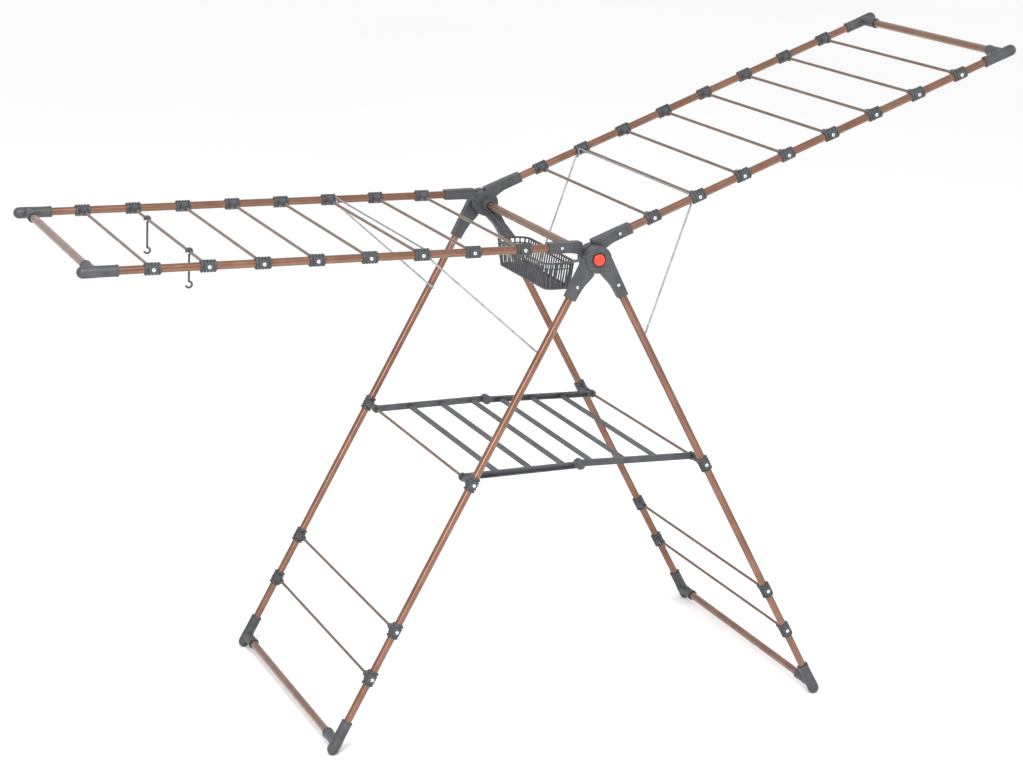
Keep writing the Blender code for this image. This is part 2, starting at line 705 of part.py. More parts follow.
HOOK_AXIS_AT = FIRST_RUNG_AT + HOOK_RUNG * RUNG_PITCH
for moving_prefix in ("left_leg_", "right_leg_", "left_wing_", "right_wing_", "central_tube", "hub_cap_"):
    set_origin(moving_prefix, HUB)
set_origin("left_stay", LEFT_LEG.place(STAY_HOLE_AT, 0))
set_origin("right_stay", RIGHT_LEG.place(STAY_HOLE_AT, 0))
set_origin("shelf_left_half", LEFT_LEG.place(SHELF_ROD_AT, 0))
set_origin("shelf_right_half", RIGHT_LEG.place(SHELF_ROD_AT, 0))
for hook_name, hook_y in HOOKS_AT:
    set_origin(hook_name, LEFT_WING.place(HOOK_AXIS_AT, hook_y))
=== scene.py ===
# %% [markdown]
# # A winged clothes airer, piece by piece
# The airer is a frame of round steel tubes joined by moulded plastic fittings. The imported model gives
# the exact place of every tube, rung and pivot. Here each node is made again with the detail that the
# real piece shows, in the same frame and in metres, and rides on the same moving body.

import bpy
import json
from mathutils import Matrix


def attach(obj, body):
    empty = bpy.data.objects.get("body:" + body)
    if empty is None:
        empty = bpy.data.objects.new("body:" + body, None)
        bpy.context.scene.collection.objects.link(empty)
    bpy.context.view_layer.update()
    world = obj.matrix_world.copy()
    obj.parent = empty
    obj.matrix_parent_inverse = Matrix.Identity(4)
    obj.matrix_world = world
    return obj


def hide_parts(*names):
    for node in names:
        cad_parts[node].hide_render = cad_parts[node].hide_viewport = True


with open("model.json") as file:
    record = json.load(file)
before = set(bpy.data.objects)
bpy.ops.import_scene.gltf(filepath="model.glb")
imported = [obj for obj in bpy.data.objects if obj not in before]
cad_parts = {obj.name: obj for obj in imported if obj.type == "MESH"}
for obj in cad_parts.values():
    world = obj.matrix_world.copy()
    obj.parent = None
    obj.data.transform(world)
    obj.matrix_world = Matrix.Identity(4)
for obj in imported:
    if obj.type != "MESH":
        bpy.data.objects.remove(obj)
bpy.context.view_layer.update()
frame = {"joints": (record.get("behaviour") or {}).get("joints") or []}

# %% [markdown]
# ## Sizes
# The model is parametric in a few lengths. They are the frame's own: where the hub axis is, how each
# member leaves it, and the stock sizes of the tubes and wires.

# %% Sizes and places
import json
import math

import bmesh
import bpy
from mathutils import Matrix, Vector

LEG_TILT = math.radians(28.4)      # each leg frame from the vertical
RIGHT_LIFT = math.radians(21.5)    # the raised wing above the horizontal
LEG_HALF = 0.285                   # hub centre plane to a leg tube's axis
WING_HALF = 0.2625                 # hub centre plane to a wing tube's axis
TUBE_R = 0.007
TUBE_WALL = 0.0008
RUNG_R = 0.00275
STAY_R = 0.00175
ARM_LEN = 0.083                    # hub axis to the mouth of an arm's socket
ARM_DEEP = 0.0085                  # half of an arm's thickness along Y
DISC_R = 0.024
RUNG_STARTS = 0.128
RUNG_STEP = 0.0918
RUNGS_PER_WING = 8
END_TUBE_AT = 0.8678
FOOT_BAR_AT = 0.9502
LOW_RUNGS_AT = (0.7304, 0.8231)
SHELF_ROD_AT = 0.4436
STAY_HOLE_AT = 0.190
CLIP_LEN = 0.027
FOOT_SLEEVE = 0.0648               # from a foot's mouth to the end of its ball
CORNER_SLEEVE = 0.0675             # the same on a wing corner

HUB = Vector(next(j for j in frame["joints"] if j["name"] == "left_leg_fold")["pos_m"])
UP_Y = Vector((0, 1, 0))
SIDES = (("near", -1), ("far", 1))
print("hub axis at", [round(c, 4) for c in HUB])

# %% [markdown]
# ## Members
# Every tube lies in a member: a straight run that leaves the hub in the XZ plane. A point is then two
# numbers, how far along and how far to the side, and Y. The same small class serves legs and wings.


# %% Members
class Member:
    def __init__(self, along, out, offset, half):
        self.along = Vector(along)
        self.out = Vector(out)
        self.offset = offset
        self.half = half

    def at(self, far, y, beside=0.0):
        return HUB + self.along * far + self.out * (self.offset + beside) + UP_Y * y

    def flat(self, far, beside, y=0.0):
        return HUB + self.along * far + self.out * beside + UP_Y * y


def leg_member(side):
    s, c = math.sin(LEG_TILT), math.cos(LEG_TILT)
    return Member((side * s, 0, -c), (side * c, 0, s), 0.012, LEG_HALF)


def wing_member(side, lift):
    s, c = math.sin(lift), math.cos(lift)
    return Member((side * c, 0, s), (-side * s, 0, c), 0.019, WING_HALF)


MEMBERS = {
    "left_leg": leg_member(-1),
    "right_leg": leg_member(1),
    "left_wing": wing_member(-1, 0.0),
    "right_wing": wing_member(1, RIGHT_LIFT),
}
BODY_OF = {
    "left_leg": "left_leg_frame",
    "right_leg": "right_leg_frame",
    "left_wing": "left_wing",
    "right_wing": "right_wing",
}
print("members:", ", ".join(MEMBERS))

# %% [markdown]
# ## Colour and node helpers
# Colours are picked as sRGB hex, the way a paint chart gives them, and Blender shades in linear light,
# so one function turns one into the other. One more function adds any node with its settings and links.


# %% Colour and node helpers
def linear(hex_color):
    channels = [int(hex_color[i:i + 2], 16) / 255 for i in (1, 3, 5)]
    return tuple(c / 12.92 if c <= 0.04045 else ((c + 0.055) / 1.055) ** 2.4 for c in channels) + (1.0,)


def add_node(tree, kind, settings=None, inputs=None, links=None):
    """settings are the node's own fields, inputs are socket values, links are {socket: output}."""
    node = tree.nodes.new(kind)
    for key, value in (settings or {}).items():
        setattr(node, key, value)
    for key, value in (inputs or {}).items():
        node.inputs[key].default_value = value
    for key, output in (links or {}).items():
        tree.links.new(output, node.inputs[key])
    return node


def new_material(name, settings):
    made = bpy.data.materials.new(name)
    made.use_nodes = True
    shader = made.node_tree.nodes["Principled BSDF"]
    for key, value in settings.items():
        shader.inputs[key].default_value = value
    return made, made.node_tree, shader


def tint(tree, shader, coords, low, high, per_metre, detail=4.0):
    """A soft cloudy mix of two colours on the base colour. per_metre is how many blotches fit in a metre."""
    noise = add_node(
        tree, "ShaderNodeTexNoise", inputs={"Scale": per_metre, "Detail": detail}, links={"Vector": coords}
    )
    ramp = add_node(tree, "ShaderNodeValToRGB", links={"Fac": noise.outputs["Fac"]})
    ramp.color_ramp.elements[0].position = 0.35
    ramp.color_ramp.elements[0].color = linear(low)
    ramp.color_ramp.elements[1].position = 0.65
    ramp.color_ramp.elements[1].color = linear(high)
    tree.links.new(ramp.outputs["Color"], shader.inputs["Base Color"])
    return ramp


def roughness_from(tree, shader, coords, low, high, per_metre):
    """Roughness that drifts between two values, as handling and moulding leave it."""
    noise = add_node(tree, "ShaderNodeTexNoise", inputs={"Scale": per_metre}, links={"Vector": coords})
    spread = add_node(
        tree,
        "ShaderNodeMapRange",
        inputs={"From Min": 0.3, "From Max": 0.7, "To Min": low, "To Max": high},
        links={"Value": noise.outputs["Fac"]},
    )
    tree.links.new(spread.outputs["Result"], shader.inputs["Roughness"])


def grain(tree, shader, coords, per_metre, depth_mm, strength):
    """A fine bump of that depth in millimetres."""
    noise = add_node(
        tree, "ShaderNodeTexNoise", inputs={"Scale": per_metre, "Detail": 3.0}, links={"Vector": coords}
    )
    bump = add_node(
        tree,
        "ShaderNodeBump",
        inputs={"Strength": strength, "Distance": depth_mm / 1000},
        links={"Height": noise.outputs["Fac"]},
    )
    tree.links.new(bump.outputs["Normal"], shader.inputs["Normal"])


print("copper in linear light:", [round(c, 3) for c in linear("#C08A72")])

# %% [markdown]
# ## Copper-toned enamel on steel tube
# The tubes are drawn steel, sprayed with a satin metallic enamel and baked. Flake in the paint gives a
# metal's tinted highlight, softer than bare copper, and a baked coat has a faint orange peel. The mix is
# a mostly metallic Principled shader with a broad, soft highlight and a thin clear layer over it.

# %% Copper enamel
def copper_enamel(name, low, high, coat):
    made, tree, shader = new_material(
        name, {"Metallic": 0.8, "Roughness": 0.3, "Coat Weight": coat, "Coat Roughness": 0.22}
    )
    coords = add_node(tree, "ShaderNodeTexCoord").outputs["Object"]
    # Flake clusters drift over about 40 mm.
    tint(tree, shader, coords, low, high, 25)
    roughness_from(tree, shader, coords, 0.26, 0.36, 40)
    # Orange peel is about 1 mm across. It is drawn at 1.6 mm so that it shows.
    grain(tree, shader, coords, 620, 0.03, 0.12)
    return made


copper = copper_enamel("satin_copper_enamel", "#775444", "#85614F", 0.3)
# The thin rungs take less paint, so they look greyer.
rung_copper = copper_enamel("thin_copper_enamel", "#6C564A", "#796253", 0.18)
print("made", copper.name, "and", rung_copper.name)

# %% [markdown]
# ## Anthracite polypropylene
# The fittings are injection-moulded and lightly eroded, so they look dry and slightly blue-grey, with a
# soft highlight where hands have rubbed them. Polypropylene has an IOR near 1.49.

# %% Anthracite plastic
anthracite, tree, shader = new_material("moulded_anthracite_polypropylene", {"Roughness": 0.5, "IOR": 1.49})
coords = add_node(tree, "ShaderNodeTexCoord").outputs["Object"]
tint(tree, shader, coords, "#35373B", "#414347", 60)
roughness_from(tree, shader, coords, 0.42, 0.56, 90)
# Spark-eroded mould texture is about 0.3 mm. It is drawn at about 1 mm.
grain(tree, shader, coords, 1000, 0.05, 0.18)
print("made", anthracite.name)

# %% [markdown]
# ## Zinc-plated steel
# The stays are steel wire with a zinc plate: a pale bluish metal whose skin varies a little in gloss
# along the drawn wire.

# %% Zinc plate
zinc, tree, shader = new_material("bright_zinc_plated_steel", {"Metallic": 0.9, "Roughness": 0.32})
coords = add_node(tree, "ShaderNodeTexCoord").outputs["Object"]
tint(tree, shader, coords, "#8E9092", "#ABADAE", 80)
roughness_from(tree, shader, coords, 0.26, 0.42, 200)
grain(tree, shader, coords, 1500, 0.02, 0.1)
print("made", zinc.name)

# %% [markdown]
# ## Bright screws
# The screws are the same plated steel, but polished by their rolling and driving, so they flash nearly
# white wherever they face a light.

# %% Bright screws
bright, tree, shader = new_material("polished_zinc_plated_screw", {"Metallic": 0.75, "Roughness": 0.22})
coords = add_node(tree, "ShaderNodeTexCoord").outputs["Object"]
tint(tree, shader, coords, "#BFC1C3", "#DADCDE", 300)
roughness_from(tree, shader, coords, 0.16, 0.28, 500)
print("made", bright.name)

# %% [markdown]
# ## Red polypropylene
# One small turned-looking cap closes each end of the hub. It is glossier than the fittings, since its
# mould is polished, with the same IOR.

# %% Red plastic
red, tree, shader = new_material("polished_red_polypropylene", {"Roughness": 0.3, "IOR": 1.49})
coords = add_node(tree, "ShaderNodeTexCoord").outputs["Object"]
tint(tree, shader, coords, "#E03420", "#EE4029", 120)
roughness_from(tree, shader, coords, 0.24, 0.34, 300)
grain(tree, shader, coords, 1200, 0.02, 0.08)
print("made", red.name)

# %% [markdown]
# ## Mesh helpers
# Almost everything here is a round section carried along a line, or a flat outline given thickness. Both
# are lofts: rings of points joined ring to ring. A bevel then rounds what a mould would round.


# %% Mesh helpers
def across(along):
    hint = UP_Y if abs(along.y) < 0.9 else Vector((1, 0, 0))
    first = (hint - along * hint.dot(along)).normalized()
    return first, along.cross(first)


def ring(center, first, second, radius, sides):
    turns = [2 * math.pi * (i + 0.5) / sides for i in range(sides)]
    return [center + first * math.cos(t) * radius + second * math.sin(t) * radius for t in turns]


def loft(mesh, rings, closed=False):
    """Adds a skin through rings of equal count to a bmesh."""
    rows = [[mesh.verts.new(p) for p in row] for row in rings]
    count = len(rows[0])
    pairs = list(zip(rows, rows[1:]))
    if closed:
        pairs.append((rows[-1], rows[0]))
    else:
        mesh.faces.new(rows[0])
        mesh.faces.new(rows[-1])
    for low, high in pairs:
        for i in range(count):
            j = (i + 1) % count
            mesh.faces.new((low[i], low[j], high[j], high[i]))


def turned(mesh, start, along, profile, sides=40):
    """profile lists (distance along, radius)."""
    first, second = across(along)
    loft(mesh, [ring(start + along * d, first, second, r, sides) for d, r in profile])


def slab(mesh, outline, y_low, y_high):
    """A flat outline in an XZ plane, given thickness along Y."""
    loft(mesh, [[Vector((p.x, y, p.z)) for p in outline] for y in (y_low, y_high)])


def finish(mesh, name, material, body, nodes=(), bevel=0.0, sharp=35):
    """Turns a bmesh into a piece: shaded smooth, bevelled if asked, riding on its body."""
    bmesh.ops.recalc_face_normals(mesh, faces=mesh.faces)
    data = bpy.data.meshes.new(name)
    mesh.to_mesh(data)
    mesh.free()
    for face in data.polygons:
        face.use_smooth = True
    data.set_sharp_from_angle(angle=math.radians(sharp))
    data.materials.append(material)
    made = bpy.data.objects.new(name, data)
    bpy.context.scene.collection.objects.link(made)
    if bevel:
        round_edges(made, bevel)
    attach(made, body)
    if nodes:
        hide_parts(*nodes)
    return made


def round_edges(piece, width):
    modifier = piece.modifiers.new("rounded_edges", "BEVEL")
    modifier.width = width
    modifier.segments = 3
    modifier.limit_method = "ANGLE"
    modifier.angle_limit = math.radians(40)
    modifier.harden_normals = False


def cutter(mesh, name):
    """A helper that a Boolean takes away. It never shows."""
    bmesh.ops.recalc_face_normals(mesh, faces=mesh.faces)
    data = bpy.data.meshes.new(name)
    mesh.to_mesh(data)
    mesh.free()
    made = bpy.data.objects.new(name, data)
    bpy.context.scene.collection.objects.link(made)
    return made


def combine(piece, other, operation):
    """Applies an exact Boolean at once and removes the helper."""
    modifier = piece.modifiers.new("shape", "BOOLEAN")
    modifier.operation = operation
    modifier.solver = "EXACT"
    modifier.object = other
    settle(piece)
    bpy.data.objects.remove(other)


def settle(piece):
    """Replaces a piece's mesh by the mesh that its modifiers make."""
    bpy.context.view_layer.update()
    graph = bpy.context.evaluated_depsgraph_get()
    data = bpy.data.meshes.new_from_object(piece.evaluated_get(graph))
    piece.modifiers.clear()
    piece.data = data


print("helpers ready")

# %% [markdown]
# ## Tubes
# A side tube runs from inside its hub arm to its end fitting. It is made hollow, with 48 sides so that
# its outline stays round up close.


# %% Tubes
def tube(name, start, end, body, sides=48):
    along = (end - start).normalized()
    first, second = across(along)
    inner = TUBE_R - TUBE_WALL
    lip = 0.0003
    steps = (
        (start, inner), (start, TUBE_R - lip), (start + along * lip, TUBE_R),
        (end - along * lip, TUBE_R), (end, TUBE_R - lip), (end, inner),
    )
    mesh = bmesh.new()
    loft(mesh, [ring(p, first, second, r, sides) for p, r in steps], closed=True)
    return finish(mesh, "vis_" + name, copper, body, [name])


SOCKET_DEPTH = 0.045
FITTING_R = 0.0102
for word, member in MEMBERS.items():
    is_leg = word.endswith("leg")
    bar_at = FOOT_BAR_AT if is_leg else END_TUBE_AT
    for near, side in SIDES:
        y = side * member.half
        tube_start = member.at(ARM_LEN - SOCKET_DEPTH, y)
        tube_end = member.at(bar_at - FITTING_R - 0.001, y)
        tube(f"{word}_tube_{near}", tube_start, tube_end, BODY_OF[word])
    reach = member.half - FITTING_R - 0.002
    cross = f"{word}_bottom_bar" if is_leg else f"{word}_end_tube"
    tube(cross, member.at(bar_at, -reach), member.at(bar_at, reach), BODY_OF[word])
tube("central_tube", HUB - UP_Y * 0.293, HUB + UP_Y * 0.293, "right_leg_frame")
print("tubes made")

# %% [markdown]
# ## Screws
# Each clip and each arm is held by a small pan-head screw with a cross recess. A shallow dome with two
# crossed slots reads as one even when it is only a few millimetres wide.


# %% Screws
def screw_head(mesh, center, out, radius):
    """A domed head with a cross recess, facing out."""
    first, second = across(out)
    sides = 24
    slot_half = radius * 0.16
    slot_long = radius * 0.62
    turned(
        mesh, center, out,
        [(-0.0006, radius), (0.0004, radius), (0.0009, radius * 0.9), (0.0012, radius * 0.7)],
        sides,
    )
    for a, b in ((first, second), (second, first)):
        low = center + out * 0.00115
        high = center + out * 0.00135
        corners = [(su * slot_long, sv * slot_half) for su, sv in ((-1, -1), (1, -1), (1, 1), (-1, 1))]
        loft(mesh, [[p + a * u + b * v for u, v in corners] for p in (low, high)])


# %% [markdown]
# ## Rungs and their clips
# A rung is a thin tube. Each end sits in a moulded clip round the side tube: a sleeve with ribs round
# its ends, a tapered boss that holds the rung, and a flat pad outside for the screw.

# %% Clip shapes
CLIP_RIBS = 5
RIB_TOP, RIB_FOOT = 0.0107, 0.0090


def clip_profile():
    """(distance along, radius) of a sleeve with even ribs, each with a narrow flat top."""
    pitch = CLIP_LEN / CLIP_RIBS
    profile = []
    for i in range(CLIP_RIBS):
        base = i * pitch
        profile += [
            (base + pitch * 0.02, RIB_FOOT),
            (base + pitch * 0.16, RIB_FOOT),
            (base + pitch * 0.28, RIB_TOP - 0.0002),
            (base + pitch * 0.36, RIB_TOP),
            (base + pitch * 0.70, RIB_TOP),
            (base + pitch * 0.78, RIB_TOP - 0.0002),
            (base + pitch * 0.90, RIB_FOOT),
        ]
    return profile + [(CLIP_LEN, RIB_FOOT)]


def clip(name, member, at, side, body, boss_reach):
    y = side * member.half
    center = member.at(at, y)
    inward = UP_Y * -side
    start = center - member.along * CLIP_LEN / 2
    first, second = across(member.along)
    bore = TUBE_R + 0.0002
    mesh = bmesh.new()
    outer = [ring(start + member.along * d, first, second, r, 40) for d, r in clip_profile()]
    inner = [ring(start + member.along * d, first, second, bore, 40) for d in (CLIP_LEN, 0.0)]
    loft(mesh, outer + inner, closed=True)
    boss_start = center + inward * 0.0082
    reach = boss_reach - 0.0082
    turned(
        mesh, boss_start, inward,
        [(0.0, 0.0088), (0.004, 0.0076), (reach - 0.0035, 0.0052), (reach - 0.0030, 0.0057),
         (reach - 0.0006, 0.0057), (reach, 0.0052)],
        32,
    )
    clip_body = finish(mesh, f"vis_{name}_clip", anthracite, body, ())
    pad_mesh = bmesh.new()
    long_half, high_half, cut = 0.0084, 0.0062, 0.0016
    corners = []
    for a, b in ((-1, -1), (1, -1), (1, 1), (-1, 1)):
        pair = [(a * long_half, b * (high_half - cut)), (a * (long_half - cut), b * high_half)]
        corners += pair if a * b > 0 else pair[::-1]
    low, high = center - inward * 0.006, center - inward * 0.0112
    loft(pad_mesh, [[p + member.along * a + member.out * b for a, b in corners] for p in (low, high)])
    finish(pad_mesh, f"vis_{name}_pad", anthracite, body, (), bevel=0.0008)
    screw = bmesh.new()
    screw_head(screw, center - inward * 0.0113, -inward, 0.0033)
    finish(screw, f"vis_{name}_screw", bright, body, ())
    return clip_body


def rung(node, word, at, boss_reach=0.026):
    member = MEMBERS[word]
    body = BODY_OF[word]
    reach = member.half - TUBE_R - 0.0015
    start, end = member.at(at, -reach), member.at(at, reach)
    mesh = bmesh.new()
    turned(mesh, start, (end - start).normalized(), [(0.0, RUNG_R), ((end - start).length, RUNG_R)], 28)
    bar = finish(mesh, f"vis_{node}", rung_copper, body, [node])
    for near, side in SIDES:
        clip(f"{node}_{near}", member, at, side, body, boss_reach)
    return bar


for word in ("left_wing", "right_wing"):
    for i in range(RUNGS_PER_WING):
        rung(f"{word}_rung_{i + 1}", word, RUNG_STARTS + i * RUNG_STEP)
for word in ("left_leg", "right_leg"):
    for i, at in enumerate(LOW_RUNGS_AT):
        rung(f"{word}_rung_{i + 1}", word, at)
    rung(f"{word}_shelf_rod", word, SHELF_ROD_AT, 0.036)
print("rungs made:", RUNGS_PER_WING * 2 + 6)

# %% [markdown]
# ## Hub arms
# Eight moulded arms carry the tubes, four at each end of the hub. Each ends in a disc of half its own
# thickness, so that the discs stack on the central tube and turn past each other. The plate, disc,
# clearances and socket are cut with exact Booleans, as a mould maker would set them out, and every edge
# then gets the small radius that catches a line of light.

# %% Arm outlines
LEG_ARM = (
    (0.000, 0.002), (0.0235, -0.0055), (0.032, -0.0046), (0.041, -0.0022), (0.050, 0.0006),
    (0.062, 0.0024), (ARM_LEN, 0.0032), (ARM_LEN, 0.0208), (0.046, 0.0218), (0.009, 0.0228),
)


def wing_arm(top_start):
    return (
        (0.004, 0.004), (0.0225, 0.0050), (0.030, 0.0070), (0.037, 0.0088), (0.044, 0.0099),
        (ARM_LEN, 0.0102), (ARM_LEN, 0.0278), (0.055, 0.0284), (top_start + 0.002, 0.0286),
        (top_start, 0.0272), (top_start, 0.012),
    )


# Each arm's disc is the outer or the inner half of its thickness.
ARM_STACK = {
    "right_leg": (True, LEG_ARM),
    "left_leg": (False, LEG_ARM),
    "left_wing": (True, wing_arm(0.022)),
    "right_wing": (False, wing_arm(0.008)),
}


def drum(name, start_y, end_y, radius, sides=64):
    mesh = bmesh.new()
    first, second = across(UP_Y)
    centers = [Vector((HUB.x, y, HUB.z)) for y in (start_y, end_y)]
    loft(mesh, [ring(c, first, second, radius, sides) for c in centers])
    return cutter(mesh, name)


def hub_arm(word, near, side):
    member = MEMBERS[word]
    disc_outside, outline = ARM_STACK[word]
    middle = side * member.half
    toward = side if disc_outside else -side
    node = f"{word}_arm_{near}"
    mesh = bmesh.new()
    slab(mesh, [member.flat(s, n) for s, n in outline], middle - ARM_DEEP, middle + ARM_DEEP)
    made = finish(mesh, "vis_" + node, anthracite, BODY_OF[word], [node])
    edge = middle + toward * 0.0002
    combine(made, drum("disc", edge, middle + toward * ARM_DEEP, DISC_R), "UNION")
    combine(made, drum("clear", edge, middle - toward * (ARM_DEEP + 0.004), DISC_R + 0.0008), "DIFFERENCE")
    combine(made, drum("bore", middle - 0.03, middle + 0.03, TUBE_R + 0.0002), "DIFFERENCE")
    socket = bmesh.new()
    depth = ARM_LEN - SOCKET_DEPTH - 0.0003
    turned(socket, member.at(depth, middle), member.along, [(0.0, TUBE_R + 0.0003), (0.07, TUBE_R + 0.0003)])
    combine(made, cutter(socket, "socket"), "DIFFERENCE")
    if word == "right_leg":
        groove = bmesh.new()
        face = HUB + UP_Y * side * (member.half + ARM_DEEP)
        first, second = across(UP_Y)
        rows = [(-0.0030, 0.0104), (0.002, 0.0104), (0.002, 0.0126), (-0.0030, 0.0126)]
        loft(groove, [ring(face + UP_Y * side * d, first, second, r, 64) for d, r in rows], closed=True)
        combine(made, cutter(groove, "groove"), "DIFFERENCE")
    for face in made.data.polygons:
        face.use_smooth = True
    made.data.set_sharp_from_angle(angle=math.radians(30))
    round_edges(made, 0.0013)
    screw = bmesh.new()
    seat = member.at(0.059, middle + side * (ARM_DEEP - 0.0002))
    screw_head(screw, seat, UP_Y * side, 0.0028)
    finish(screw, f"vis_{node}_screw", bright, BODY_OF[word], ())


for word in ARM_STACK:
    for near, side in SIDES:
        hub_arm(word, near, side)
print("arms made: 8")

# %% [markdown]
# ## Hub caps
# A domed red cap closes each end of the central tube, in a shallow ring groove.


# %% Hub caps
for near, side in SIDES:
    face = HUB + UP_Y * side * (LEG_HALF + ARM_DEEP + 0.0003)
    dome = [
        (-0.012, 0.0055), (0.0, 0.0055), (0.0, 0.0100), (0.0008, 0.0102), (0.0020, 0.0102), (0.0030, 0.0098),
        (0.0037, 0.0090), (0.0041, 0.0077), (0.0044, 0.0055), (0.0045, 0.0025),
    ]
    mesh = bmesh.new()
    turned(mesh, face, UP_Y * side, dome, 56)
    finish(mesh, f"vis_hub_cap_{near}", red, "right_leg_frame", [f"hub_cap_{near}"])
print("caps made: 2")

# %% [markdown]
# ## Corners and feet
# One moulded tee ends every side tube: a sleeve that closes in a ball, and a side socket for the cross
# tube. The ball is a proper half-circle profile, the socket mouths have a raised collar, and a thin web
# stiffens the inside corner.


# %% Corners and feet
def tee(node, word, side, bar_at, sleeve_len, ball_at, radius):
    member = MEMBERS[word]
    y = side * member.half
    inward = UP_Y * -side
    start = member.at(ball_at + radius - sleeve_len, y)
    straight = sleeve_len - radius
    profile = [(0.0, radius * 0.93), (0.0005, radius), (0.0030, radius), (0.0036, radius * 0.95)]
    profile += [(straight * 0.55, radius * 0.955), (straight * 0.72, radius)]
    quarter = [math.radians(a) for a in range(0, 90, 9)]
    profile += [(straight + radius * math.sin(a), radius * math.cos(a)) for a in quarter]
    profile += [(straight + radius * 0.9995, radius * 0.03)]
    mesh = bmesh.new()
    turned(mesh, start, member.along, profile, 48)
    made = finish(mesh, "vis_" + node, anthracite, BODY_OF[word], [node])
    branch = bmesh.new()
    mouth = 0.050
    turned(
        branch, member.at(bar_at, y), inward,
        [(0.0, radius * 0.9), (0.014, radius * 0.93), (mouth - 0.006, radius * 0.88),
         (mouth - 0.005, radius * 0.96), (mouth - 0.0005, radius * 0.96), (mouth, radius * 0.92)],
        48,
    )
    combine(made, cutter(branch, "branch"), "UNION")
    web = bmesh.new()
    thick = member.out * 0.0016
    inner = member.at(bar_at, y)
    corners = [
        inner - member.along * 0.006 + inward * 0.006,
        inner - member.along * 0.006 + inward * 0.030,
        inner - member.along * 0.0095 + inward * 0.018,
        inner - member.along * 0.015 + inward * 0.0115,
        inner - member.along * 0.026 + inward * 0.0075,
        inner - member.along * 0.026 + inward * 0.006,
    ]
    loft(web, [[p - thick for p in corners], [p + thick for p in corners]])
    combine(made, cutter(web, "web"), "UNION")
    bore = TUBE_R + 0.0003
    hole = bmesh.new()
    hole_len = (member.at(bar_at - FITTING_R - 0.0007, y) - start).length + 0.01
    turned(hole, start - member.along * 0.01, member.along, [(0.0, bore), (hole_len, bore)])
    combine(made, cutter(hole, "hole"), "DIFFERENCE")
    hole = bmesh.new()
    cross = member.at(bar_at, side * (member.half - FITTING_R - 0.0017))
    turned(hole, cross, inward, [(0.0, bore), (0.08, bore)])
    combine(made, cutter(hole, "cross_hole"), "DIFFERENCE")
    for face in made.data.polygons:
        face.use_smooth = True
    made.data.set_sharp_from_angle(angle=math.radians(35))
    return made


FOOT_R = 0.0105
FOOT_BALL_AT = (HUB.z + 0.012 * math.sin(LEG_TILT) - FOOT_R) / math.cos(LEG_TILT)
WING_BALL_AT = 0.8935 - FITTING_R
for word in MEMBERS:
    for near, side in SIDES:
        if word.endswith("leg"):
            tee(f"{word}_foot_{near}", word, side, FOOT_BAR_AT, FOOT_SLEEVE, FOOT_BALL_AT, FOOT_R)
        else:
            tee(f"{word}_corner_{near}", word, side, END_TUBE_AT, CORNER_SLEEVE, WING_BALL_AT, FITTING_R)
print("corners and feet made: 8")

# %% [markdown]
# ## Wire stays
# Each wing rests on one long bent wire. Its ends hook into the leg tubes, it steps in beside a clip and
# crosses under the wing. A wire is a circle carried along a path whose corners are arcs.


# %% Wires
def bent(points, radius, steps=8):
    path = [points[0]]
    for before, corner, after in zip(points, points[1:], points[2:]):
        back = (before - corner).normalized()
        ahead = (after - corner).normalized()
        half = back.angle(ahead) / 2
        reach = radius / math.tan(half)
        center = corner + (back + ahead).normalized() * radius / math.sin(half)
        start = corner + back * reach - center
        end = corner + ahead * reach - center
        sweep = start.angle(end)
        for i in range(steps + 1):
            low = math.sin(sweep * (1 - i / steps))
            high = math.sin(sweep * i / steps)
            path.append(center + (start * low + end * high) / math.sin(sweep))
    return path + [points[-1]]


def wire(mesh, path, radius, sides=18):
    tangents = [(b - a).normalized() for a, b in zip(path, path[1:])]
    tangents = [tangents[0]] + tangents
    first, _ = across(tangents[0])
    rings = []
    for i, point in enumerate(path):
        ahead = tangents[min(i + 1, len(path) - 1)]
        mean = (tangents[i] + ahead).normalized()
        first = (first - mean * first.dot(mean)).normalized()
        rings.append(ring(point, first, mean.cross(first), radius, sides))
    loft(mesh, rings)


def stay(node, leg_word, wing_word, rung_at):
    legs, wings = MEMBERS[leg_word], MEMBERS[wing_word]
    cross_at = rung_at - 0.010
    knee_at = rung_at - CLIP_LEN / 2 - STAY_R - 0.0006
    inner = wings.half - 0.0103 - STAY_R - 0.0003
    outer = wings.half - 0.001
    under = -(TUBE_R + STAY_R + 0.0003)
    half = [
        legs.at(STAY_HOLE_AT, legs.half - TUBE_R + 0.004),
        legs.at(STAY_HOLE_AT, outer),
        wings.at(knee_at, outer, under),
        wings.at(knee_at, inner, under),
        wings.at(cross_at, inner, 0.006),
    ]
    other = [Vector((p.x, -p.y, p.z)) for p in reversed(half)]
    mesh = bmesh.new()
    wire(mesh, bent(half + other, 0.0035), STAY_R)
    return finish(mesh, "vis_" + node, zinc, node, [node])


stay("left_stay", "left_leg", "left_wing", RUNG_STARTS + 2 * RUNG_STEP)
stay("right_stay", "right_leg", "right_wing", RUNG_STARTS + RUNG_STEP)
print("stays made: 2")

# %% [markdown]
# ## Hanger hooks
# Two slim moulded hooks swing on the seventh rung of the level wing. Each is an eye snapped round the
# rung, a straight shank and a small open bowl, all of one round section. They are turned about the rung
# until their weight hangs straight down.


# %% Hanger hooks
HOOK_R = 0.0019
HOOK_EYE = RUNG_R + HOOK_R + 0.0004
HOOK_BOWL = 0.0052
HOOK_DROP = 0.0635


def arc(center, radius, start, end, steps):
    turns = [math.radians(start + (end - start) * i / steps) for i in range(steps + 1)]
    return [center + Vector((math.cos(t), 0, math.sin(t))) * radius for t in turns]


